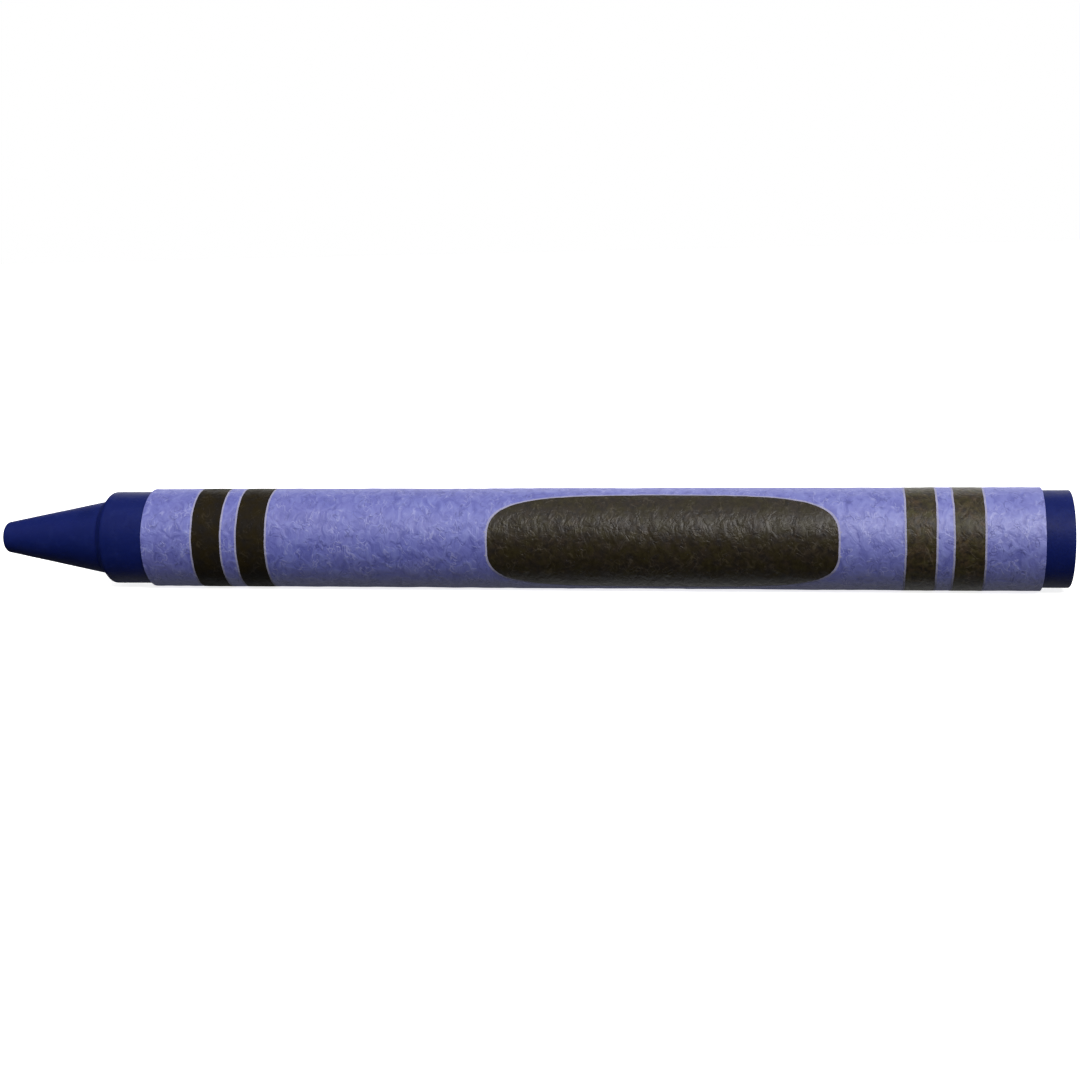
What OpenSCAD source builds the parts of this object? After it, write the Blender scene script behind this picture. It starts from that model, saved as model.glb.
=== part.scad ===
// Wax crayon in a wound paper label, lying on its side along X with its tip towards -X.
// Every part is drawn standing up, with its nose at z = 0, and is then laid down.

/* [Wax stick] */
// Length from the nose face to the butt face
stick_length = 91.7; // [91:0.1:96]
// Diameter of the cast cylinder
stick_d = 8.04; // [7.6:0.02:8.6]
// Width of the cone where its side would meet the nose face
nose_d = 2.62; // [1.8:0.01:3]
// Rounding of the nose
nose_round = 0.35; // [0.2:0.05:1]
// Length of the cone
cone_length = 9.45; // [7:0.05:10.5]
// Width of the cone at its base
cone_base_d = 6.4; // [5:0.02:6.8]
// Slope of the shoulder, from the stick's axis
shoulder_angle = 48; // [35:1:60]
// Rounding where the shoulder meets the cylinder
shoulder_round = 0.45; // [0.2:0.05:1.4]
// Rounding of the butt's rim
butt_round = 0.12; // [0.05:0.01:0.5]

/* [Paper label] */
// Distance from the nose to the label's front edge
label_start = 13.94; // [13:0.01:15]
// Length of the label along the stick
label_length = 75.45; // [72:0.05:75.5]
// Thickness of the paper
paper_t = 0.105; // [0.08:0.005:0.15]
// Thickness of the dried paste under each turn
paste_t = 0.02; // [0.01:0.005:0.03]
// Direction of the sheet's inner end, turned from straight down towards the back
seam_angle = 60; // [15:1:80]
// Angle over which the first turn steps up over the inner end, beside the outer end
step_angle = 10; // [6:1:12]

/* [Print] */
// Thickness of the ink
ink_t = 0.02; // [0.01:0.005:0.03]
// Distance from the nose to the nose-end band
nose_band_start = 18.49; // [17:0.01:22]
// Width of the nose-end band
nose_band_width = 6.44; // [5:0.02:8]
// Distance from the nose to the butt-end band
butt_band_start = 78.43; // [76:0.01:79.5]
// Width of the butt-end band
butt_band_width = 6.19; // [5:0.01:6.3]
// Width of bare paper between the two rings of a band
band_gap = 1.46; // [0.8:0.02:2.4]
// Distance from the nose to the panel's middle
panel_centre = 58.58; // [55:0.01:60]
// Length of the panel
panel_length = 28.94; // [20:0.02:30]
// Height of the panel, measured round the label
panel_height = 9.4; // [6:0.1:10]
// Squareness of the panel's outline, where 2 is an ellipse
panel_power = 3.2; // [2:0.1:6]
// Direction of the panel's middle, raised from level towards the top
panel_angle = 6.6; // [0:0.1:60]

/* [Hidden] */

$fn = 180;
round_steps = 8;
panel_points = 72;

navy_wax = [0.13, 0.16, 0.38];
dry_paste = [0.90, 0.88, 0.82];
blue_paper = [0.50, 0.52, 0.74];
dark_ink = [0.17, 0.16, 0.15];

stick_r = stick_d / 2;
nose_r = nose_d / 2;
cone_base_r = cone_base_d / 2;
cone_angle = atan2(cone_base_r - nose_r, cone_length);

// A turn is a layer of paste with paper over it, and stops short of a full circle by the step.
turn_t = paste_t + paper_t;
turn_angle = 360 - step_angle;
label_r = stick_r + 2 * turn_t;

ring_width_nose = (nose_band_width - band_gap) / 2;
ring_width_butt = (butt_band_width - band_gap) / 2;

// A point at radius r and angle a, seen along the axis
function polar(r, a) = [r * cos(a), r * sin(a)];

// Points along a round of radius r about a centre, from angle a0 to a1
function arc(centre, r, a0, a1) =
    [for (i = [0:round_steps]) centre + polar(r, a0 + (a1 - a0) * i / round_steps)];

// The nose's round touches the nose face and the cone's side.
nose_flat_r = nose_r - nose_round / tan((90 + cone_angle) / 2);
nose_arc = arc([nose_flat_r, nose_round], nose_round, 270, 360 - cone_angle);

// The shoulder's round touches the sloping shoulder and the cylinder.
shoulder_end = cone_length + (stick_r - cone_base_r) / tan(shoulder_angle)
             + shoulder_round * tan(shoulder_angle / 2);
shoulder_arc = arc([stick_r - shoulder_round, shoulder_end], shoulder_round, -shoulder_angle, 0);

// The rim's round touches the cylinder and the butt face.
butt_arc = arc([stick_r - butt_round, stick_length - butt_round], butt_round, 0, 90);

// One coordinate of a superellipse, from the cosine or sine of its angle
function squared(c) = sign(c) * pow(abs(c), 2 / panel_power);

// The panel's outline as seen square on, once it is wrapped round the label
panel_outline = [
    for (i = [0:panel_points - 1])
        let (turn = 360 * i / panel_points, round_by = panel_height / 2 * squared(sin(turn)))
            [label_r * sin(round_by / label_r * 180 / PI),
             panel_centre + panel_length / 2 * squared(cos(turn))]
];

// Inner radius of a turn, counted from 0 at the wax
function turn_r(turn) = stick_r + turn * turn_t;

// The step's course, as shares of its angle and of its rise. Its ends reach a little into both turns.
step_course = [[-0.05, 0], [0.15, 0], [0.5, 0.5], [0.85, 1], [1.05, 1]];

// The step lies this far inside both sides of the paper, so that it joins each turn cleanly.
step_lip = 0.005;

// One side of the step, a distance t above the sheet's underside
function step_side(t) = [
    for (p = step_course)
        polar(turn_r(p[1]) + paste_t + t, seam_angle - step_angle * (1 - p[0]))
];

// Lays a standing part down along X, with its middle at the origin and its lowest ink at z = 0.
module lay_down() {
    translate([-stick_length / 2, 0, label_r + ink_t])
        rotate([0, 90, 0])
            children();
}

// A layer of thickness t outside radius r, one turn long, from the seam round to the step
module layer(r, t, from = label_start, width = label_length) {
    translate([0, 0, from])
        rotate([0, 0, seam_angle])
            rotate_extrude(angle = turn_angle)
                translate([r, 0])
                    square([t, width]);
}

// A ring of ink on the second turn
module ink_ring(from, width) {
    color(dark_ink)
        lay_down()
            layer(label_r, ink_t, from, width);
}

// The cast stick: nose, cone, shoulder, cylinder and butt
module wax_stick() {
    color(navy_wax)
        lay_down()
            rotate_extrude()
                polygon(concat([[0, 0]], nose_arc, [[cone_base_r, cone_length]],
                               shoulder_arc, butt_arc, [[0, stick_length]]));
}

// Dried paste under each turn. The step stays dry.
module paste_film() {
    color(dry_paste)
        lay_down()
            for (turn = [0:1])
                layer(turn_r(turn), paste_t);
}

// One sheet of paper, wound twice round the stick. Between its turns it steps up over its own end.
module paper_label() {
    color(blue_paper)
        lay_down() {
            layer(turn_r(0) + paste_t, paper_t);
            translate([0, 0, label_start])
                linear_extrude(label_length)
                    polygon(concat(step_side(step_lip),
                                   [for (i = [4:-1:0]) step_side(paper_t - step_lip)[i]]));
            layer(turn_r(1) + paste_t, paper_t);
        }
}

module nose_band_outer_ring() {
    ink_ring(nose_band_start, ring_width_nose);
}

module nose_band_inner_ring() {
    ink_ring(nose_band_start + ring_width_nose + band_gap, ring_width_nose);
}

// A solid oval of ink on the side of the label
module name_panel() {
    color(dark_ink)
        lay_down()
            rotate([0, 0, 270 - panel_angle])
                intersection() {
                    rotate([90, 0, 90])
                        linear_extrude(2 * label_r)
                            polygon(panel_outline);
                    translate([0, 0, panel_centre - panel_length])
                        rotate_extrude()
                            translate([label_r, 0])
                                square([ink_t, 2 * panel_length]);
                }
}

module butt_band_inner_ring() {
    ink_ring(butt_band_start, ring_width_butt);
}

module butt_band_outer_ring() {
    ink_ring(butt_band_start + ring_width_butt + band_gap, ring_width_butt);
}

wax_stick();
paste_film();
paper_label();
nose_band_outer_ring();
nose_band_inner_ring();
name_panel();
butt_band_inner_ring();
butt_band_outer_ring();
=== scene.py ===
# %% [markdown]
# # A wax crayon in a wound paper label
#
# A school crayon is one of the simplest things a factory makes. Coloured wax is poured into a
# tall tube mould, and a pin under the tube shapes the blunt cone of the tip and pushes the
# cooled stick out. A sheet of coloured paper is then pasted and rolled twice round the stick.
#
# The lesson builds it in that order: the cast stick, the wound label, the paste between its
# turns and the ink printed on it. After that come the finishes, the light and the camera.
#
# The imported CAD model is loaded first. It fixes every size, so the lesson measures it and
# never moves it.

# %% Load the fixed model
import math

import bpy
import numpy as np
from mathutils import Matrix, Vector


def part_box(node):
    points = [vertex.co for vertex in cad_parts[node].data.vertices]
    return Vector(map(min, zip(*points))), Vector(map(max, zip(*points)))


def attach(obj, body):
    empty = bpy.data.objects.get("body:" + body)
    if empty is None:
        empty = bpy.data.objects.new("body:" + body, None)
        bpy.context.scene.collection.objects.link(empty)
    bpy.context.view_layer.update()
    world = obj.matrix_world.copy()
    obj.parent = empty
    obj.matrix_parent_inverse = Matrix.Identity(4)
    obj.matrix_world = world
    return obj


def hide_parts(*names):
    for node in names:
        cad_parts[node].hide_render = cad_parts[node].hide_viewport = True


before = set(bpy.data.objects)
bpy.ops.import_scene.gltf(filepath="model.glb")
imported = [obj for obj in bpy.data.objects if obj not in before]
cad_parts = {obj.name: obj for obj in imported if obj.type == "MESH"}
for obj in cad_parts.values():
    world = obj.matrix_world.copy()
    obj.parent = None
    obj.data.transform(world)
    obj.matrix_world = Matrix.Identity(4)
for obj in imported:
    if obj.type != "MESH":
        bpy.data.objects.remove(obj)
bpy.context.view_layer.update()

# %% [markdown]
# ## Sizes
#
# A round thing is easiest to think about with a station and an angle. The station is the
# distance from the tip along the stick, in millimetres. The angle goes round the stick, from
# straight down, up the back, over the top and down the front.
#
# Stations and radii are read from the CAD nodes' boxes, so both models always agree. A box
# can't tell how thick the paste is or how the tip is rounded, so such sizes are named where
# they are first needed.

# %% Read stations and radii from the CAD nodes
MM = 0.001


def stations(node):
    """Where a node begins and ends, in millimetres from the tip."""
    low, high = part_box(node)
    return (low[0] - tip_x) / MM, (high[0] - tip_x) / MM


stick_low, stick_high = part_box("wax_stick")
label_low, label_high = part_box("paper_label")
tip_x = stick_low[0]
axis_z = (label_low[2] + label_high[2]) / 2
stick_length = (stick_high[0] - stick_low[0]) / MM
stick_r = (stick_high[2] - stick_low[2]) / 2 / MM
label_r = (label_high[2] - label_low[2]) / 2 / MM
label_start, label_end = stations("paper_label")

TURN = 360                    # degrees
SEAM = 60                     # degrees: where the sheet's inner end lies, low on the back
STEP = 10                     # degrees: how long the paper takes to step up over that end
PASTE = 0.02                  # millimetres, as are all lengths from here on
turn = (label_r - stick_r) / 2
paper = turn - PASTE

print(f"stick {stick_length:.1f} long, {2 * stick_r:.2f} across; label {2 * label_r:.2f} across")
print(f"label from {label_start:.2f} to {label_end:.2f}, paper {paper:.3f} thick")


# %% Turn stations, radii and angles into places
def place(station, radius, angle):
    """Points in metres, in the model's own frame. Each input may be a number or an array."""
    around = np.radians(angle)
    station, radius, around = np.broadcast_arrays(station, radius, around)
    x = tip_x + station * MM
    y = radius * np.sin(around) * MM
    z = axis_z - radius * np.cos(around) * MM
    return np.stack([x, y, z], axis=-1)


print("the middle of the tip is at", place(0, 0, 0).round(4), "metres")

# %% [markdown]
# ## Small unevenness
#
# No real surface is a perfect cylinder. Wax shrinks as it cools, and damp paper cockles as its
# paste dries. Blender's Displace modifier could add such heights from a texture. A function of
# the station and the distance round the stick is used instead, because the ink can then be
# given exactly the heights of the paper below it.
#
# The function scatters random numbers on a coarse grid and blends between them with a soft
# bell-shaped weight, so a grid spacing of so many millimetres gives bumps of about that size.
# The random numbers come from a fixed seed, so every run builds the same crayon.


# %% Smooth random heights
def relief(seed, spacing, station, along, girth=None):
    """Heights from about -1 to 1 at places on a surface that is unrolled flat.

    along is the distance round the stick. With a girth, the pattern joins up after one turn.
    """
    station, along = np.broadcast_arrays(np.asarray(station, float), np.asarray(along, float))
    # The grid covers the whole stick, and one turn or two turns of paper, with a little to spare.
    columns = round(girth / spacing) if girth else int(2 * math.pi * label_r * 2 / spacing) + 6
    rows = int(stick_length / spacing) + 5
    knots = np.random.default_rng(seed).uniform(-1, 1, (rows, columns))
    u = station / spacing + 1
    v = along / girth * columns if girth else along / spacing
    row, column = np.floor(u).astype(int), np.floor(v).astype(int)

    def weights(f):
        return [(1 - f) ** 3 / 6, (3 * f**3 - 6 * f**2 + 4) / 6,
                (-3 * f**3 + 3 * f**2 + 3 * f + 1) / 6, f**3 / 6]

    across, down = weights(v - column), weights(u - row)
    total = np.zeros(station.shape)
    for i, row_weight in enumerate(down):
        for j, column_weight in enumerate(across):
            knot = knots[(row + i - 1) % rows, (column + j - 1) % columns]
            total += row_weight * column_weight * knot
    # Blending halves the heights, so they are doubled again.
    return total * 2


def layered(layers, station, along, girth=None):
    """Reliefs added up. Each layer is its seed, its height and its spacing."""
    return sum(height * relief(seed, spacing, station, along, girth) for seed, height, spacing in layers)


print("relief at the middle:", relief(1, 3.0, stick_length / 2, [0.0, 1.5, 3.0]).round(2))

# %% [markdown]
# ## From points to pieces
#
# Every piece here is a sheet of points that is bent round the stick. A small helper makes the
# quads of such a sheet, and another turns points and faces into an object. It asks Blender to
# point all the faces outwards and to keep the edges sharp where the surface turns a corner.


# %% Helpers that make meshes
def grid_faces(rows, columns, first=0, closed=False):
    """The quads of a sheet of rows by columns points. A closed sheet joins up round the stick."""
    index = np.arange(rows * columns).reshape(rows, columns) + first
    if closed:
        index = np.concatenate([index, index[:, :1]], axis=1)
    corners = [index[:-1, :-1], index[:-1, 1:], index[1:, 1:], index[1:, :-1]]
    return np.stack(corners, axis=-1).reshape(-1, 4).tolist()


def make_piece(name, points, faces, flat=None, face_slots=None, sharp=40):
    """An object from points in metres.

    flat holds each point's place on the unrolled sheet, in millimetres, and face_slots the
    number of each face's finish. An edge that turns by more than sharp degrees stays sharp.
    """
    mesh = bpy.data.meshes.new(name)
    mesh.from_pydata(np.asarray(points).tolist(), [], faces)
    if face_slots is not None:
        mesh.polygons.foreach_set("material_index", face_slots)
    if flat is not None:
        corner_points = np.empty(len(mesh.loops), int)
        mesh.loops.foreach_get("vertex_index", corner_points)
        layer = mesh.uv_layers.new(name="sheet_mm")
        layer.data.foreach_set("uv", np.asarray(flat)[corner_points].ravel())
    mesh.shade_smooth()
    piece = bpy.data.objects.new(name, mesh)
    bpy.context.collection.objects.link(piece)
    bpy.context.view_layer.objects.active = piece
    bpy.ops.object.mode_set(mode="EDIT")
    bpy.ops.mesh.select_all(action="SELECT")
    bpy.ops.mesh.normals_make_consistent(inside=False)
    bpy.ops.object.mode_set(mode="OBJECT")
    mesh.set_sharp_from_angle(angle=math.radians(sharp))
    print(f"{name}: {len(mesh.vertices)} points, {len(mesh.polygons)} faces")
    return piece


print("a closed sheet of 2 by 12 points has", len(grid_faces(2, 12, closed=True)), "quads")

# %% [markdown]
# ## The cast stick
#
# The stick is a turned shape: one outline, spun round the axis. The outline starts at the blunt
# nose face, runs up the cone, out over the sloping shoulder and along the cylinder, and ends at
# the butt's small rim. A Screw modifier could spin it, but here the points are spun in plain
# arithmetic, because each one can then be moved by a hundredth of a millimetre on the way.
#
# A real outline has no knife-sharp corners, because melted wax rounds them by itself. Each
# corner is therefore a short arc that touches the straight lines on both sides of it. The
# cylinder under the label is never seen, so it is left as one long stretch.

# %% Outline of the stick
NOSE_R = 1.31                 # where the cone's side would meet the nose face
NOSE_ROUND = 0.35
CONE_LENGTH = 9.45
CONE_BASE_R = 3.2
CONE_FILLET = 0.15            # hollow round at the foot of the shoulder
SHOULDER_SLOPE = 48           # degrees from the stick's axis
SHOULDER_ROUND = 0.45
BUTT_ROUND = 0.12
RING_GAP = 0.14               # most that two rings of points lie apart where they can be seen
AXIS_GAP = 0.03               # the outline stops this near the axis, and one face closes it
UNDER_LABEL = 0.6             # how far the fine rings go on under the label


def rounded(before, corner, after, radius, steps):
    """Points of an arc of the given radius that rounds the corner between two straight lines."""
    before, corner, after = (np.asarray(p, float) for p in (before, corner, after))
    back = (before - corner) / np.linalg.norm(before - corner)
    ahead = (after - corner) / np.linalg.norm(after - corner)
    half = math.acos(np.clip(back @ ahead, -1, 1)) / 2
    middle = (back + ahead) / np.linalg.norm(back + ahead)
    centre = corner + middle * radius / math.sin(half)
    start = corner + back * radius / math.tan(half) - centre
    end = corner + ahead * radius / math.tan(half) - centre
    sweep = math.pi - 2 * half
    share = np.linspace(0, 1, steps)[:, None]
    arc = np.sin((1 - share) * sweep) * start + np.sin(share * sweep) * end
    return centre + arc / math.sin(sweep)


def evenly(points):
    """The same outline with its points no further apart than the gap between rings."""
    out = [points[0]]
    for a, b in zip(points[:-1], points[1:]):
        parts = max(1, math.ceil(np.linalg.norm(b - a) / RING_GAP))
        out += [a + (b - a) * k / parts for k in range(1, parts + 1)]
    return np.array(out)


shoulder_top = CONE_LENGTH + (stick_r - CONE_BASE_R) / math.tan(math.radians(SHOULDER_SLOPE))
nose_corner, cone_foot = (0, NOSE_R), (CONE_LENGTH, CONE_BASE_R)
shoulder_corner, butt_corner = (shoulder_top, stick_r), (stick_length, stick_r)

tip_outline = evenly(np.concatenate([
    [(0, AXIS_GAP)],
    rounded((0, 0), nose_corner, cone_foot, NOSE_ROUND, 12),
    rounded(nose_corner, cone_foot, shoulder_corner, CONE_FILLET, 5),
    rounded(cone_foot, shoulder_corner, butt_corner, SHOULDER_ROUND, 12),
    [(label_start + UNDER_LABEL, stick_r)],
]))
butt_outline = evenly(np.concatenate([
    [(label_end - UNDER_LABEL, stick_r)],
    rounded(shoulder_corner, butt_corner, (stick_length, 0), BUTT_ROUND, 7),
    [(stick_length, AXIS_GAP)],
]))
outline = np.concatenate([tip_outline, butt_outline])
print(f"{len(outline)} rings, shoulder ends near {shoulder_top:.1f} mm")

# %% [markdown]
# Wax shrinks as it sets, so the cast is very slightly uneven: long soft hollows of about a
# hundredth of a millimetre, with finer ripples over them. The mould's pin leaves a hair-thin
# raised line where it met the tube, just behind the shoulder.

# %% Unevenness of the cast
STICK_SIDES = 208
WAX_RELIEF = ((11, 0.010, 4.5), (12, 0.004, 1.3), (13, 0.0018, 0.45))
MOULD_LINE = shoulder_top + 0.75
MOULD_LINE_HEIGHT, MOULD_LINE_WIDTH = 0.012, 0.09
CALM_R = 1.2                  # nearer the axis than this, the unevenness fades away
END_DEPTH = 0.02              # points this near an end belong to its flat face

spin = np.arange(STICK_SIDES)[None, :] * TURN / STICK_SIDES
station, radius = outline[:, :1], outline[:, 1:]
girth = 2 * math.pi * stick_r
uneven = layered(WAX_RELIEF, station, spin / TURN * girth, girth)
on_side = np.clip(radius / CALM_R, 0, 1) * (station < stick_length - END_DEPTH)
mould_line = MOULD_LINE_HEIGHT * np.exp(-(((station - MOULD_LINE) / MOULD_LINE_WIDTH) ** 2))
stick_radius = radius + on_side * uneven + mould_line
print(f"the cast is uneven by up to {np.abs(uneven).max():.3f} mm")

# %% [markdown]
# The butt is the open end of the mould. Its wax sinks a little in the middle as it cools, and a
# blade scrapes it level, which leaves a shallow dish with scrape lines across it. The nose is
# worn back by a few hundredths, as on any crayon that has rattled about in a box.
#
# Both faces are flat, so their heights are taken from a patch of the same random sheet, with
# the scrape lines stretched along the way the blade went.

# %% The two flat ends
PATCH_STATION, PATCH_ALONG = 40, 8    # the patch of the random sheet that the ends use
SCRAPE_ANGLE = 25             # degrees: the way the blade went
SCRAPE_GAP, SCRAPE_DEPTH = 0.22, 0.012
SCRAPE_ROW, SCRAPE_STRETCH = 5.24, 0.04
DISH_DEPTH, DISH_UNEVEN, DISH_SPACING = 0.10, 0.05, 1.6
NOSE_WEAR, WEAR_SPACING = 0.02, 0.5


def across_end(turned):
    """How far each point lies across and down a flat end, once it is turned by some degrees."""
    angle = np.radians(spin - turned)
    return radius * np.cos(angle), radius * np.sin(angle)


across, down = across_end(SCRAPE_ANGLE)
in_dish = np.clip(1 - (radius / (stick_r - BUTT_ROUND)) ** 2, 0, 1) * (station > stick_length - END_DEPTH)
scrapes = relief(14, SCRAPE_GAP, PATCH_STATION + across, SCRAPE_ROW + SCRAPE_STRETCH * down)
dish = DISH_DEPTH + DISH_UNEVEN * relief(15, DISH_SPACING, PATCH_STATION + across, PATCH_ALONG + down)
sunk = in_dish * dish + (in_dish > 0) * SCRAPE_DEPTH * np.abs(scrapes)

across, down = across_end(0)
wear = NOSE_WEAR * (1 + relief(16, WEAR_SPACING, PATCH_STATION + across, PATCH_ALONG + down))
worn = (station < END_DEPTH) * wear
print(f"the butt is sunk by up to {sunk.max():.2f} mm, the nose is worn by up to {worn.max():.2f} mm")

# %% Spin the outline into the stick
stick_points = place(station - sunk + worn, stick_radius, spin).reshape(-1, 3)
rings = len(outline)
faces = grid_faces(rings, STICK_SIDES, closed=True)
faces.append(list(range(STICK_SIDES)))
faces.append(list(range((rings - 1) * STICK_SIDES, rings * STICK_SIDES)))
stick = make_piece("wax_casting", stick_points, faces, sharp=60)


# %% [markdown]
# ## The wound label
#
# The label is one sheet of paper. Seen from the end it is a spiral: it lies against the wax for
# one turn, steps up over its own beginning, and lies on itself for a second turn. The outer end
# stops right beside the step, which leaves a narrow groove along the back.
#
# A plain tube would be quicker, but it has no free end, no groove and no edge to look into. So
# the sheet is followed along its spiral, with an angle that is counted on past a full turn. A
# soft S-shaped step lifts the radius by one turn's thickness near the end of the first turn.


# %% Path of the sheet
PAPER_RELIEF = ((21, 0.010, 6.0), (22, 0.010, 1.6), (23, 0.009, 0.8), (24, 0.008, 0.42))
WOUND_END = 2 * TURN - STEP


def turn_radius(wound):
    """Radius of the sheet's underside after it has been wound through this many degrees."""
    turns = np.floor(wound / TURN)
    share = np.clip((wound - turns * TURN - (TURN - STEP)) / STEP, 0, 1)
    return stick_r + PASTE + turn * (turns + share * share * (3 - 2 * share))


def sheet_mm(wound):
    """Distance along the sheet, in millimetres, from its inner end."""
    return np.asarray(wound) / TURN * 2 * math.pi * (stick_r + turn)


def cockle(station, wound):
    """How far the dried paper stands off its smooth shape: swells, cockles and fibre clumps."""
    return layered(PAPER_RELIEF, station, sheet_mm(wound))


def face_radius(station, wound):
    """Radius of the sheet's printed side."""
    return turn_radius(wound) + paper + cockle(station, wound)


print(f"the sheet is {sheet_mm(WOUND_END):.1f} mm long and {label_end - label_start:.1f} mm wide")

# %% [markdown]
# The blade that cuts the paper isn't perfect, so both cut edges wander by a few hundredths of a
# millimetre, and the free end lifts a touch where the paste is thin.
#
# Only the second turn can be seen, so only that turn gets a fine sheet of points, about six to
# a millimetre. The first turn and the underside are long plain strips from edge to edge.

# %% One line of points across the sheet
ROW = 0.17                    # between points along the stick
EDGE_ROW = 30.0               # the row of the random sheet that every wandering edge uses
EDGE_INSIDE = 0.03            # the cut edges keep this far inside the CAD label's ends, on average
FREE_END = 6                  # degrees: how far back from its end the sheet may lift
FREE_LIFT = 0.03
FREE_WANDER = 0.45            # degrees: how far the free end strays from a straight line
UNDERSIDE = 0.5               # share of the printed side's cockles that the underside has
rows = np.linspace(label_start, label_end, round((label_end - label_start) / ROW))


def cut_edge(wound, edge):
    """Where the blade really cut, near a nominal station."""
    seed, inward = (31, 1) if edge == label_start else (32, -1)
    wander = layered(((seed, 0.022, 2.4), (seed + 2, 0.010, 0.5)), EDGE_ROW, sheet_mm(wound))
    return edge + inward * (EDGE_INSIDE + wander)


def sheet_line(wound, is_fine, on_face):
    """The points of one line across the sheet, from its front edge to its back edge."""
    front, back = cut_edge(wound, label_start), cut_edge(wound, label_end)
    s = np.array([front, back])
    if is_fine:
        s = front + (rows - label_start) / (label_end - label_start) * (back - front)
    free = np.clip(1 - (WOUND_END - wound) / FREE_END, 0, 1) ** 2
    end = wound + free * FREE_WANDER * relief(36, 3.0, s, 4.0)
    if on_face:
        r = face_radius(s, end)
    else:
        r = turn_radius(np.minimum(end, WOUND_END))
        if is_fine:
            r = r + UNDERSIDE * cockle(s, end)
    lift = free * FREE_LIFT * np.clip(relief(35, 5.0, s, 3.0), 0, 1)
    unrolled = np.stack([s, np.full(s.shape, sheet_mm(wound))], axis=-1)
    return place(s, r + lift, SEAM + end), unrolled


print(f"a fine line has {len(rows)} points, {rows[1] - rows[0]:.3f} mm apart")

# %% [markdown]
# The lines run round the sheet as a belt would: along the printed side from the inner end to
# the outer end, and back along the underside. A strip joins each line to the next, with quads
# where both lines are fine, and with one many-sided face where a plain line meets a fine one.

# %% Build the sheet
COLUMN = 2.2                  # degrees between fine lines
PLAIN_COLUMN = 5.0            # degrees between plain lines
PAPER_FACE, CUT_FACE = 0, 1   # the numbers of the two finishes

plain = np.arange(0, TURN - STEP, PLAIN_COLUMN)
fine = np.linspace(TURN - STEP, WOUND_END, round(TURN / COLUMN))
columns = [(w, False) for w in plain] + [(w, True) for w in fine]

points, flat, lines = [], [], []
for on_face in (True, False):
    for wound, is_fine in columns if on_face else columns[::-1]:
        fine_here = is_fine if on_face else wound == WOUND_END
        at, unrolled = sheet_line(wound, fine_here, on_face)
        start = sum(len(p) for p in points)
        lines.append(list(range(start, start + len(at))))
        points.append(at)
        flat.append(unrolled)


def strip(a, b):
    """Faces between two neighbouring lines of points."""
    if len(a) == len(b):
        return [[a[k], a[k + 1], b[k + 1], b[k]] for k in range(len(a) - 1)]
    return [[*a, *reversed(b)]]


faces, slots = [], []
count = len(columns)
for k, line in enumerate(lines):
    made = strip(line, lines[(k + 1) % len(lines)])
    faces += made
    slots += [CUT_FACE if k in (count - 1, len(lines) - 1) else PAPER_FACE] * len(made)
for k in range(count - 1):
    face, next_face = lines[k], lines[k + 1]
    under, next_under = lines[-1 - k], lines[-2 - k]
    for end in (0, -1):
        faces.append([face[end], next_face[end], next_under[end], under[end]])
        slots.append(CUT_FACE)

label = make_piece("wound_label", np.concatenate(points), faces, np.concatenate(flat), slots)


# %% [markdown]
# ## The paste
#
# Starch paste dries to a film far thinner than the paper. It shows only as a pale line between
# the turns at the label's two ends, and as a little squeezed-out skin in the groove. It could
# be left out, but it is what holds the label on, and without it the gap would show as a dark
# crack. The film follows the same spiral as the paper and stops just short of the cut edges.
#
# The paste and the ink are both thin closed films on the spiral, so one function makes both.


# %% A thin closed film
def closed_sheet(name, station_grid, wound_grid, top, bottom, sharp=40, border=(False, False)):
    """A film that follows the label: a top sheet, a bottom sheet and a rim between them.

    border says whether the outermost rows and columns of the top take the second finish.
    """
    n_rows, n_columns = station_grid.shape
    upper = place(station_grid, top, SEAM + wound_grid).reshape(-1, 3)
    lower = place(station_grid, bottom, SEAM + wound_grid).reshape(-1, 3)
    index = np.arange(n_rows * n_columns).reshape(n_rows, n_columns)
    rim = np.concatenate([index[0], index[1:, -1], index[-1, -2::-1], index[-2:0:-1, 0]])
    below = rim + n_rows * n_columns
    around = np.stack([rim, np.roll(rim, -1), np.roll(below, -1), below], axis=-1)
    faces = grid_faces(n_rows, n_columns) + grid_faces(n_rows, n_columns, len(upper)) + around.tolist()
    slots = np.zeros((n_rows - 1, n_columns - 1), int)
    if border[0]:
        slots[[0, -1], :] = 1
    if border[1]:
        slots[:, [0, -1]] = 1
    slots = np.concatenate([slots.ravel(), slots.ravel(), np.full(len(around), int(any(border)))])
    unrolled = np.stack([station_grid, sheet_mm(wound_grid)], axis=-1).reshape(-1, 2)
    flat = np.concatenate([unrolled, unrolled])
    return make_piece(name, np.concatenate([upper, lower]), faces, flat, slots, sharp)


# %% Build the paste
PASTE_INSIDE = 0.08           # the paste keeps this far inside the label's ends, at least
PASTE_WANDER = 0.03
PASTE_CLEAR = 0.002           # between the paste and the paper on both sides
PASTE_LINES = 240

s_grid, w_grid = np.meshgrid([label_start + PASTE_INSIDE, label_end - PASTE_INSIDE],
                             np.linspace(1, WOUND_END - 1, PASTE_LINES), indexing="ij")
inwards = np.array([[1], [-1]])
s_grid = s_grid + inwards * PASTE_WANDER * (1 + relief(41, 1.2, EDGE_ROW, sheet_mm(w_grid)))
under_paper = turn_radius(w_grid)
paste_film = closed_sheet("dried_paste", s_grid, w_grid,
                          under_paper - PASTE_CLEAR, under_paper - PASTE + PASTE_CLEAR)

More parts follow.
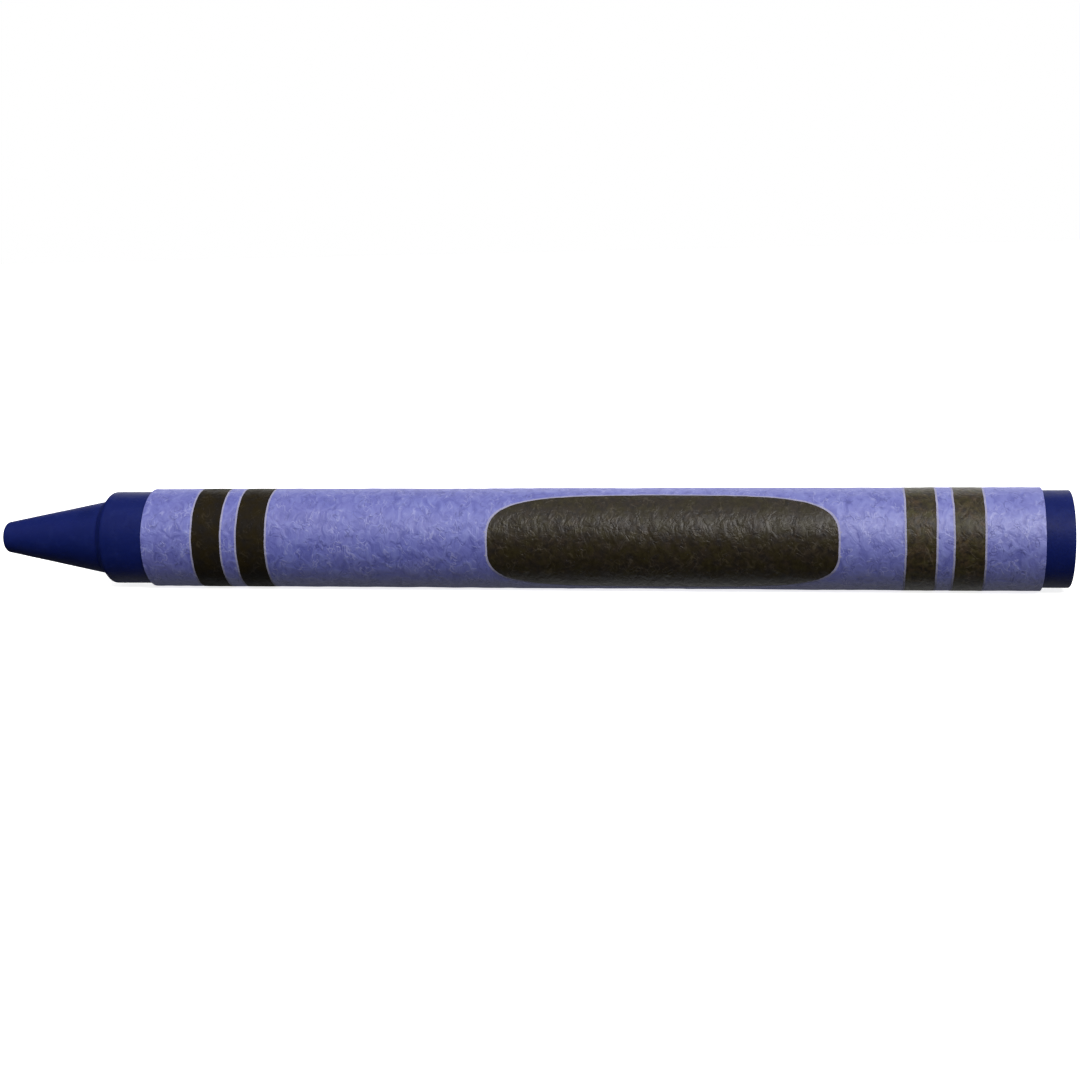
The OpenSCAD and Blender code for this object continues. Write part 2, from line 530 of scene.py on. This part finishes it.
# %% [markdown]
# ## The printed ink
#
# The label is printed before it is rolled, from a flat plate with one dark ink. There are four
# plain rings, two near each end, and one long dark oval with squared-off shoulders on the side.
# The paper's finish could paint them with a mask. Each is its own thin film instead, so that it
# stays a separate piece with crisp edges, which another scene can print in another colour.
#
# Ink on uncoated paper creeps a little along the fibres, so a printed edge is never quite
# straight. Each film follows every cockle of the paper below it, and its edge wanders by two or
# three hundredths of a millimetre.
#
# The blue tint is printed too, and it stops a hair short of the dark ink. The paper's own
# paler colour shows between them as a fine line. Each film carries that line as a border.

# %% Print the rings
INK = 0.012                   # how high the ink stands on the paper
INTO_PAPER = 0.006            # how deep its underside lies in the paper
PALE_LINE = 0.15
RING_LINES = 17
RING_FROM, RING_TO = TURN + 2.5, WOUND_END - 1.5    # just clear of the step and the free end


def creep(seed, second_seed):
    """The two layers by which an ink edge wanders, for layered()."""
    return (seed, 0.020, 0.6), (second_seed, 0.008, 0.3)


def ink_film(name, station_grid, wound_grid, border):
    """A film of ink on the printed side of the sheet."""
    on_paper = face_radius(station_grid, wound_grid)
    return closed_sheet(name, station_grid, wound_grid, on_paper + INK, on_paper - INTO_PAPER, 80, border)


def ink_ring(name, node, seed):
    """A ring of ink over the second turn of the sheet, at the CAD ring's stations."""
    low, high = stations(node)
    wound = np.linspace(RING_FROM, RING_TO, round((TURN - STEP) / COLUMN))
    share = np.linspace(0, 1, RING_LINES)[:, None]
    low = low + layered(creep(seed, seed + 5), EDGE_ROW, sheet_mm(wound))
    high = high + layered(creep(seed + 1, seed + 6), EDGE_ROW, sheet_mm(wound))
    s = low * (1 - share) + high * share
    s = np.concatenate([s[:1] - PALE_LINE, s, s[-1:] + PALE_LINE])
    return ink_film(name, s, np.broadcast_to(wound, s.shape), (True, False))


rings_of_ink = {}
for number, node in enumerate(("nose_band_outer_ring", "nose_band_inner_ring",
                               "butt_band_inner_ring", "butt_band_outer_ring")):
    rings_of_ink[node] = ink_ring("printed_" + node, node, 50 + 10 * number)

# %% [markdown]
# The oval is a superellipse, which lies between an ellipse and a rectangle. It could be a flat
# outline that is shrunk on to the label, but it is quicker to work out where each of its points
# lies round the stick. Its lines of points run from its lower edge to its upper edge, closer
# together towards its two ends, where the edge turns quickly.

# %% Print the oval
PANEL_HEIGHT = 9.4            # measured round the label
PANEL_POWER = 3.2             # 2 would be an ellipse
PANEL_ENDS = 6                # a high power, so that only the two ends of the oval are moved
PANEL_LINES = 61
FRONT = 270                   # degrees: straight in front

panel_low, panel_high = stations("name_panel")
panel_centre, panel_half = (panel_low + panel_high) / 2, (panel_high - panel_low) / 2
box_low, box_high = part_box("name_panel")
box_middle = ((box_low[2] + box_high[2]) / 2 - axis_z) / MM
rise = math.degrees(math.asin(box_middle / (label_r * math.sin(PANEL_HEIGHT / 2 / label_r))))
panel_wound = FRONT - rise - SEAM + TURN

# Every degree from one end of the oval to the other, less the last few, which have hardly any height
sweep = np.radians(np.arange(4, 177, 1.0))[None, :]
share = np.linspace(-1, 1, PANEL_LINES)[:, None]
reach = np.sign(np.cos(sweep)) * np.abs(np.cos(sweep)) ** (2 / PANEL_POWER)
half_height = PANEL_HEIGHT / 2 * np.sin(sweep) ** (2 / PANEL_POWER)
at_ends = np.sign(reach) * np.abs(reach) ** PANEL_ENDS
s = panel_centre + panel_half * reach
# The upper and the lower edge take their wander from different rows.
across = share * (half_height + np.abs(share) * layered(creep(91, 92), s, 3 + 3 * np.sign(share)))
s = s + at_ends * 0.020 * relief(93, 0.6, EDGE_ROW, 8 + across)
# One more row and column on every side make the pale line.
s = np.concatenate([s[:1] + at_ends * PALE_LINE, s, s[-1:] + at_ends * PALE_LINE])
across = np.concatenate([across[:1] - PALE_LINE, across, across[-1:] + PALE_LINE])
s = np.concatenate([s[:, :1] + PALE_LINE, s, s[:, -1:] - PALE_LINE], axis=1)
across = np.concatenate([across[:, :1], across, across[:, -1:]], axis=1)
panel = ink_film("printed_oval", s, panel_wound - np.degrees(across / label_r), (True, True))
print(f"the oval is {2 * panel_half:.1f} by {PANEL_HEIGHT} mm, {rise:.1f} degrees above level")

# %% [markdown]
# ## Helpers for the finishes
#
# A finish in Blender is a small network of nodes that feeds one shader. One function adds a
# node, fills in its settings and connects its inputs. A second one does what every finish here
# does many times: it lays one colour over another wherever a pattern is strong. Each finish
# then reads as a list of what is laid over what.
#
# Colours are written the usual way for screens, as sRGB hex values. Blender calculates with
# linear light, so another function converts them.
#
# The patterns are measured in real millimetres. The coordinates that feed a noise are in
# millimetres, so a noise of scale 1 / size has bumps of about that size.


# %% Node and colour helpers
def srgb(code):
    """Linear colour, with alpha, of an sRGB hex value."""
    values = [int(code[k:k + 2], 16) / 255 for k in (1, 3, 5)]
    return (*[v / 12.92 if v <= 0.04045 else ((v + 0.055) / 1.055) ** 2.4 for v in values], 1.0)


def add(tree, kind, inputs=None, **settings):
    """Add a node. Each input takes a value, a node's first output, or a named output."""
    node = tree.nodes.new("ShaderNode" + kind)
    for name, value in settings.items():
        setattr(node, name, value)
    for name, value in (inputs or {}).items():
        socket = next(s for s in node.inputs if s.enabled and name in (s.name, s.identifier))
        if isinstance(value, bpy.types.Node):
            value = next(s for s in value.outputs if s.enabled)
        if isinstance(value, bpy.types.NodeSocket):
            tree.links.new(value, socket)
        else:
            socket.default_value = value
    return node


def lay_over(tree, below, above, pattern, low=0.0, high=1.0, most=1.0):
    """Lay a colour over another, from not at all where a pattern is low to most where it is high."""
    share = add(tree, "MapRange", {"Value": pattern, "From Min": low, "From Max": high, "To Max": most})
    return add(tree, "Mix", {"Factor": share, "A": below, "B": above}, data_type="RGBA")


def new_material(name):
    """An empty material and its node tree."""
    material = bpy.data.materials.new(name)
    material.use_nodes = True
    material.node_tree.nodes.clear()
    return material, material.node_tree


print("#FFFFFF is", srgb("#FFFFFF"), "and #808080 is", [round(v, 3) for v in srgb("#808080")])

# %% [markdown]
# ## Cast paraffin wax
#
# Crayon wax is paraffin and stearic acid with pigment stirred in. It was poured into a polished
# metal mould, so it has a soft gloss, but a bloom of wax comes to its surface and dulls it. That
# gives a fairly rough highlight over a very dark colour.
#
# Wax bends light by 1.44. A little light also travels inside it, which softens the shading
# of the tip, so the shader gets some subsurface scattering over a third of a millimetre.
#
# A single colour would look like plastic. The pigment isn't quite evenly stirred, so the colour
# drifts over a few millimetres, and fine grey-blue bloom sits in patches. The bump nodes add
# pits and mould texture that are too small to build.

# %% Wax finish
STIRRING = 2.86               # millimetres, as are the next five: how far the colour takes to drift
BLOOM = 1.25                  # patches of bloom
DULL_PATCH = 0.909
SKIN = 0.625                  # ripples left by the mould
PIT = 0.222
SPECK = 0.143                 # grains of pigment, drawn several times their size so that they show

wax, tree = new_material("cast_paraffin_wax")
metres = add(tree, "TexCoord").outputs["Object"]
where = add(tree, "Mapping", {"Vector": metres, "Scale": (1 / MM, 1 / MM, 1 / MM)})

stirred = add(tree, "TexNoise", {"Vector": where, "Scale": 1 / STIRRING, "Detail": 3.0})
bloom = add(tree, "TexNoise", {"Vector": where, "Scale": 1 / BLOOM, "Detail": 5.0, "Roughness": 0.6})
specks = add(tree, "TexNoise", {"Vector": where, "Scale": 1 / SPECK})
pigment = lay_over(tree, srgb("#0F1A53"), srgb("#121D5B"), stirred, 0.3, 0.7)
bloomed = lay_over(tree, pigment, srgb("#3A4786"), bloom, 0.50, 0.75, 0.10)
colour = lay_over(tree, bloomed, srgb("#0A1342"), specks, 0.66, 0.74, 0.35)

dull = add(tree, "TexNoise", {"Vector": where, "Scale": 1 / DULL_PATCH, "Detail": 4.0})
rough = add(tree, "MapRange", {"Value": dull, "From Min": 0.3, "From Max": 0.7,
                               "To Min": 0.44, "To Max": 0.54})
skin = add(tree, "TexNoise", {"Vector": where, "Scale": 1 / SKIN, "Detail": 4.0, "Roughness": 0.55})
dents = add(tree, "TexNoise", {"Vector": where, "Scale": 1 / PIT})
pits = add(tree, "MapRange", {"Value": dents, "From Min": 0.28, "From Max": 0.42})
rippled = add(tree, "Bump", {"Height": skin, "Strength": 0.35, "Distance": 0.04 * MM})
pitted = add(tree, "Bump", {"Height": pits, "Strength": 0.5, "Distance": 0.02 * MM, "Normal": rippled})
surface = add(tree, "BsdfPrincipled", {
    "Base Color": colour, "Roughness": rough, "Normal": pitted, "IOR": 1.44,
    "Specular IOR Level": 0.10,
    "Subsurface Weight": 0.25, "Subsurface Radius": (0.3, 0.4, 1.0), "Subsurface Scale": 0.35 * MM})
add(tree, "OutputMaterial", {"Surface": surface})
print("wax made, with", len(tree.nodes), "nodes")

# %% [markdown]
# ## Uncoated tinted paper
#
# Crayon labels are thin, uncoated paper with a blue-violet tint printed all over. The surface
# is a mat of fibres, each about a hundredth of a millimetre thick and one long. They clump into
# a mottle, and single stray fibres lie over it as short curly lines, some light, some dark.
#
# The paper's own coordinates are used here, in millimetres on the flat sheet, because the
# pattern was made in the sheet before it was rolled. Fibres lie more along the way the paper
# machine ran, which is round the stick, so the patterns are stretched a little that way.
#
# A thin curly line is a trick worth knowing. Noise passes through its middle value along long
# wandering curves, so the places where it is very near that value make thread-like lines.

# %% Patterns in paper
CLUMP = 0.741                 # millimetres, as are the next three: a clump of fibres
FIBRE = 1.0                   # how long a stray fibre is before it curls back
FIBRE_PATCH = 1.111           # how far apart groups of stray fibres lie
MAT = 0.1111                  # the mat, drawn several fibres wide so that it shows
LIGHT_FIBRE, DARK_FIBRE = 0.042, 0.038    # how near the noise's middle a line reaches
MACHINE_GRAIN = 0.8           # shrinks distances round the stick, so patterns come out longer


def curly_lines(tree, where, width, shift):
    """Short curly lines, like stray fibres. width is how near the middle the noise has to be."""
    moved = add(tree, "Mapping", {"Vector": where, "Location": (shift, 2 * shift, 0)})
    level = add(tree, "TexNoise", {"Vector": moved, "Scale": 1 / FIBRE, "Detail": 1.0, "Distortion": 1.5})
    away = add(tree, "Math", {"Value": level, "Value_001": 0.5}, operation="SUBTRACT")
    size = add(tree, "Math", {"Value": away}, operation="ABSOLUTE")
    line = add(tree, "MapRange", {"Value": size, "From Min": width, "From Max": 0.3 * width})
    groups = add(tree, "TexNoise", {"Vector": moved, "Scale": 1 / FIBRE_PATCH, "Detail": 1.0})
    here = add(tree, "MapRange", {"Value": groups, "From Min": 0.48, "From Max": 0.60})
    return add(tree, "Math", {"Value": line, "Value_001": here}, operation="MULTIPLY")


def paper_pattern(tree):
    """Sheet coordinates, clumps, light and dark stray fibres, the fine fibre mat and its bump."""
    sheet = add(tree, "UVMap", uv_map="sheet_mm")
    grain = add(tree, "Mapping", {"Vector": sheet, "Scale": (1.0, MACHINE_GRAIN, 1.0)})
    clumps = add(tree, "TexNoise", {"Vector": grain, "Scale": 1 / CLUMP, "Roughness": 0.55,
                                    "Distortion": 0.9})
    light = curly_lines(tree, grain, LIGHT_FIBRE, 7.0)
    dark = curly_lines(tree, grain, DARK_FIBRE, 31.0)
    mat = add(tree, "TexNoise", {"Vector": grain, "Scale": 1 / MAT, "Roughness": 0.6, "Distortion": 0.6})
    fluff = add(tree, "Bump", {"Height": mat, "Strength": 0.5, "Distance": 0.01 * MM})
    lumps = add(tree, "Bump", {"Height": clumps, "Distance": 0.09 * MM, "Normal": fluff, "Strength": 1.0})
    ridges = add(tree, "Bump", {"Height": light, "Distance": 0.01 * MM, "Normal": lumps, "Strength": 1.0})
    creases = add(tree, "Bump", {"Height": dark, "Distance": 0.01 * MM, "Normal": ridges, "Strength": 1.0},
                  invert=True)
    return sheet, clumps, light, dark, mat, creases


print(f"fibre clumps of {CLUMP} mm, stray fibres of {FIBRE} mm, mat of {MAT} mm")

# %% [markdown]
# The tint itself isn't even. It drifts over a few millimetres, and it is made a little paler towards the
# butt as painted light, as if that end were lit more strongly. It looks pale where the fibres are thin and
# deep where they clump.
#
# Uncoated paper is rough, and its loose fibres catch light that grazes it. That is what the
# shader's sheen is for: it brightens the tint softly towards the outline.

# %% Tinted paper finish
DRIFT = 4.0                   # millimetres
PAINTED_LIGHT_FROM, PAINTED_LIGHT_TO = 22.0, 80.0    # stations between which the tint grows paler

tinted, tree = new_material("tinted_uncoated_paper")
sheet, clumps, light, dark, mat, bump = paper_pattern(tree)
drift = add(tree, "TexNoise", {"Vector": sheet, "Scale": 1 / DRIFT})
along = add(tree, "SeparateXYZ", {"Vector": sheet}).outputs["X"]
tint = lay_over(tree, srgb("#595FAC"), srgb("#5E60A8"), drift, 0.35, 0.65)
# Painted light: the tint grows paler towards the butt, as if that end were lit more strongly.
tint = lay_over(tree, tint, srgb("#676BB1"), along, PAINTED_LIGHT_FROM, PAINTED_LIGHT_TO)
thin = lay_over(tree, tint, srgb("#8088C4"), clumps, 0.50, 0.75, 0.50)
thick = lay_over(tree, thin, srgb("#353A8C"), clumps, 0.50, 0.27, 0.62)
fibred = lay_over(tree, thick, srgb("#A3A6D2"), light, most=0.40)
flecked = lay_over(tree, fibred, srgb("#2C3078"), dark, most=0.55)
colour = lay_over(tree, flecked, srgb("#7078BC"), mat, 0.35, 0.65, 0.14)
rough = add(tree, "MapRange", {"Value": mat, "From Min": 0.3, "From Max": 0.7,
                               "To Min": 0.50, "To Max": 0.60})
surface = add(tree, "BsdfPrincipled", {
    "Base Color": colour, "Roughness": rough, "Normal": bump, "IOR": 1.5,
    "Specular IOR Level": 0.85, "Sheen Weight": 0.50, "Sheen Roughness": 0.5,
    "Sheen Tint": srgb("#A8ACF2")})
add(tree, "OutputMaterial", {"Surface": surface})
print("tinted paper made, with", len(tree.nodes), "nodes")

# %% [markdown]
# ## Bare paper
#
# Where there is no tint, the paper is a pale grey lavender. It shows in the fine line round the
# dark ink and at the cut edges, where the blade has also left the fibres rough. It is the same
# sheet, so it has the same patterns, with a duller surface and no printed colour.

# %% Bare paper finish
bare, tree = new_material("cut_uncoated_paper")
sheet, clumps, light, dark, mat, bump = paper_pattern(tree)
base = lay_over(tree, srgb("#77779C"), srgb("#9C9BB8"), clumps)
colour = lay_over(tree, base, srgb("#B4B3C6"), mat, 0.4, 0.7, 0.4)
surface = add(tree, "BsdfPrincipled", {
    "Base Color": colour, "Roughness": 0.85, "Normal": bump, "IOR": 1.5})
add(tree, "OutputMaterial", {"Surface": surface})
print("bare paper made, with", len(tree.nodes), "nodes")

# %% [markdown]
# ## Printed ink
#
# The dark areas are one brown-black ink, printed from a flexible plate. On uncoated paper it
# sinks in, so it dries almost as dull as the paper. It lies unevenly: where the paper takes
# too little it is starved, and looks brown or olive instead of black. Here and there a fibre
# took hardly any ink, which leaves a pale thread or a pinhole.
#
# The same finish is made three times, by one function: darkest for the nose rings, middle for the oval and
# palest for the butt rings. The real ink is unevenly starved, but most of this change along the stick is
# painted light: the butt rings are made paler and browner as if lit more strongly, and the nose rings
# darker as if in shade. The nose film is also duller.

# %% Ink finish
HUE_PATCH = 1.111             # millimetres, as is the next: patches of browner and greener ink
STARVED_PATCH = 0.4545


def ink_finish(name, starved_and_painted_light_share, thread_share, gloss, smoothest):
    """One version of the ink, its colour made paler or darker along the stick as painted light. The shares
    say how strongly brown patches and pale threads show.
    """
    material, tree = new_material(name)
    sheet, clumps, light, dark, mat, bump = paper_pattern(tree)
    hue = add(tree, "TexNoise", {"Vector": sheet, "Scale": 1 / HUE_PATCH})
    patches = add(tree, "TexNoise", {"Vector": sheet, "Scale": 1 / STARVED_PATCH, "Detail": 3.0,
                                     "Roughness": 0.55, "Distortion": 0.6})
    full = lay_over(tree, srgb("#1D1A17"), srgb("#221C0F"), hue, 0.38, 0.62)
    starved = lay_over(tree, srgb("#4E3F2C"), srgb("#454124"), hue, 0.38, 0.62)
    uneven = lay_over(tree, full, starved, patches, 0.32, 0.80, starved_and_painted_light_share)
    threaded = lay_over(tree, uneven, srgb("#6E6556"), light, most=thread_share)
    colour = lay_over(tree, threaded, srgb("#70707E"), mat, 0.68, 0.76, 0.35)
    rough = add(tree, "MapRange", {"Value": clumps, "From Min": 0.3, "From Max": 0.7,
                                   "To Min": smoothest, "To Max": smoothest + 0.1})
    surface = add(tree, "BsdfPrincipled", {
        "Base Color": colour, "Roughness": rough, "Normal": bump, "IOR": 1.5,
        "Specular IOR Level": gloss})
    add(tree, "OutputMaterial", {"Surface": surface})
    print(name, "made, with", len(tree.nodes), "nodes")
    return material


# Painted light: the nose rings are darker as if shaded, and the butt rings paler and browner as if lit
# more strongly.
nose_ink_painted_shade = ink_finish("flexographic_ink_heavy", 0.04, 0.09, 0.04, 0.46)
oval_ink = ink_finish("flexographic_ink_oval", 0.36, 0.16, 0.26, 0.34)
butt_ink_painted_light = ink_finish("flexographic_ink_butt_painted_light", 0.90, 0.22, 0.22, 0.40)

# %% [markdown]
# ## Dried paste
#
# Starch paste dries cream-coloured and slightly glassy, with tiny bubbles. Very little of it
# shows, so two soft patterns are enough: streaks from the roller that spread it, and bubbles.

# %% Paste finish
STREAK = 0.667                # millimetres, as is the next
BUBBLE = 0.1667

starch, tree = new_material("dried_starch_paste")
sheet = add(tree, "UVMap", uv_map="sheet_mm")
streaks = add(tree, "TexNoise", {"Vector": sheet, "Scale": 1 / STREAK, "Detail": 3.0})
bubbles = add(tree, "TexNoise", {"Vector": sheet, "Scale": 1 / BUBBLE, "Detail": 1.0})
colour = lay_over(tree, srgb("#8E8A85"), srgb("#B5B0A4"), streaks)
bump = add(tree, "Bump", {"Height": bubbles, "Strength": 0.4, "Distance": 0.01 * MM})
surface = add(tree, "BsdfPrincipled", {
    "Base Color": colour, "Roughness": 0.45, "Normal": bump, "IOR": 1.52})
add(tree, "OutputMaterial", {"Surface": surface})
print("paste made, with", len(tree.nodes), "nodes")

# %% [markdown]
# ## Put the pieces in place of the CAD nodes
#
# Each built piece stands for one CAD node and rides on the crayon's only body.

# %% Finishes, bodies and slots
built = [
    (stick, "wax_stick", "wax", [wax]),
    (paste_film, "paste_film", "paste", [starch]),
    (label, "paper_label", "label_paper", [tinted, bare]),
    (panel, "name_panel", "ink", [oval_ink, bare]),
]
for node, piece in rings_of_ink.items():
    # The nose rings take the ink with painted shade, and the butt rings the ink with painted light.
    built.append((piece, node, "ink", [nose_ink_painted_shade if node.startswith("nose") else butt_ink_painted_light, bare]))
for piece, node, slot, finishes in built:
    for finish in finishes:
        piece.data.materials.append(finish)
    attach(piece, "root")
    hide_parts(node)
print(len(built), "pieces stand for", len(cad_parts), "nodes")

# %% [markdown]
# ## Floor
#
# The crayon lies on a wide sheet of white studio paper, lit so that it goes pure white. The
# sheet glows a little by itself, as a light table does.
#
# A bright sheet right under a small thing would light it from below as strongly as the lamps do
# from above. So this sheet is seen by the camera and takes the crayon's shadow, but it is left
# out of the light and the gloss that reach the crayon, and the underside stays deep. It also
# throws no shadow, so that a faint light from below can reach the crayon.

# %% Floor
FLOOR_SIZE = 6.0              # metres
FLOOR_GRAIN = 0.0011          # metres

bpy.ops.mesh.primitive_plane_add(size=FLOOR_SIZE)
floor = bpy.context.object
floor.name = "studio_paper"
floor.visible_diffuse = False
floor.visible_glossy = False
floor.visible_shadow = False
studio_paper, tree = new_material("white_studio_paper")
metres = add(tree, "TexCoord").outputs["Object"]
grain = add(tree, "TexNoise", {"Vector": metres, "Scale": 1 / FLOOR_GRAIN, "Detail": 3.0})
colour = lay_over(tree, srgb("#F4F4F4"), srgb("#FFFFFF"), grain)
surface = add(tree, "BsdfPrincipled", {
    "Base Color": colour, "Roughness": 0.9, "Emission Color": srgb("#FFFFFF"), "Emission Strength": 0.8})
add(tree, "OutputMaterial", {"Surface": surface})
floor.data.materials.append(studio_paper)
print("floor of", FLOOR_SIZE, "metres made")

# %% [markdown]
# ## Light
#
# One very large soft light shines from high in front, a little towards the butt. A weak one
# from the other side fills the nose end, and one from straight above lifts the top. One from
# low behind draws the rim, and a faint one from below and behind stands for the light that a
# real sheet would throw back at the crayon's lower edge.
#
# Studio lamps are far larger than a crayon, so they light it the same from end to end. Area
# lights could stand for them, but a sun does that by itself, and a wide angle makes its shadows
# soft, as a big diffuser does. The world is white where the camera looks past the floor, and
# nearly dark otherwise.

# %% Lights and world
# Name, degrees above level, degrees from straight in front towards the butt, strength in
# watts per square metre, degrees across, and colour
LIGHTS = (
    ("key_light", 41, 24, 3.25, 34, "#FFFDFB"),
    ("fill_light", 35, -60, 0.45, 60, "#FFFFFF"),
    ("top_light", 82, 0, 0.60, 60, "#FFFFFF"),
    ("rim_light", 20, 180, 1.4, 60, "#FFFFFF"),
    ("bounce_light", -65, 180, 0.40, 60, "#FFFFFF"),
)


def direction(elevation, azimuth):
    """A direction as a vector. The azimuth turns from straight in front (-Y) towards the butt (+X)."""
    up, aside = math.radians(elevation), math.radians(azimuth)
    return Vector((math.cos(up) * math.sin(aside), -math.cos(up) * math.cos(aside), math.sin(up)))


for name, elevation, azimuth, strength, spread, tint in LIGHTS:
    lamp = bpy.data.lights.new(name, "SUN")
    lamp.energy, lamp.angle, lamp.color = strength, math.radians(spread), srgb(tint)[:3]
    holder = bpy.data.objects.new(name, lamp)
    holder.rotation_euler = direction(elevation, azimuth).to_track_quat("Z", "Y").to_euler()
    bpy.context.collection.objects.link(holder)

world = bpy.data.worlds.new("studio")
world.use_nodes = True
world.node_tree.nodes.clear()
tree = world.node_tree
seen_directly = add(tree, "LightPath").outputs["Is Camera Ray"]
backdrop = add(tree, "Background", {"Color": srgb("#FFFFFF"), "Strength": 1.0})
ambient = add(tree, "Background", {"Color": srgb("#F2F5FF"), "Strength": 0.025})
mixed = add(tree, "MixShader", {"Fac": seen_directly, "Shader": ambient, "Shader_001": backdrop})
add(tree, "OutputWorld", {"Surface": mixed})
bpy.context.scene.world = world
print(len(LIGHTS), "lights made")

# %% [markdown]
# ## Camera
#
# The camera looks from just above level at the crayon's front, from about fifteen centimetres
# away, and sees its whole length. It is turned a few degrees, so the butt is nearer than the
# tip. A medium-long lens keeps the two ends nearly the same size.

# %% Camera
AIM = (0.002150, -0.000024, 0.004131)    # metres, as are the next two
CAMERA_DISTANCE = 0.14758
NEAREST_SEEN = 0.01
CAMERA_ELEVATION = 9.950      # degrees above level
CAMERA_TURN = 8.357           # degrees from straight in front, towards the butt
CAMERA_ROLL = -1.339          # degrees
FOCAL_LENGTH, SENSOR_WIDTH = 57.6, 36.0    # millimetres

outward = direction(CAMERA_ELEVATION, CAMERA_TURN)
lens = bpy.data.cameras.new("camera")
lens.lens, lens.sensor_width, lens.clip_start = FOCAL_LENGTH, SENSOR_WIDTH, NEAREST_SEEN
camera = bpy.data.objects.new("camera", lens)
roll = Matrix.Rotation(math.radians(CAMERA_ROLL), 4, "Z")
facing = outward.to_track_quat("Z", "Y").to_matrix().to_4x4()
camera.matrix_world = Matrix.Translation(Vector(AIM) + outward * CAMERA_DISTANCE) @ facing @ roll
bpy.context.collection.objects.link(camera)
bpy.context.scene.camera = camera
bpy.context.scene.view_settings.view_transform = "Standard"
print("camera at", [round(v, 4) for v in camera.matrix_world.translation])
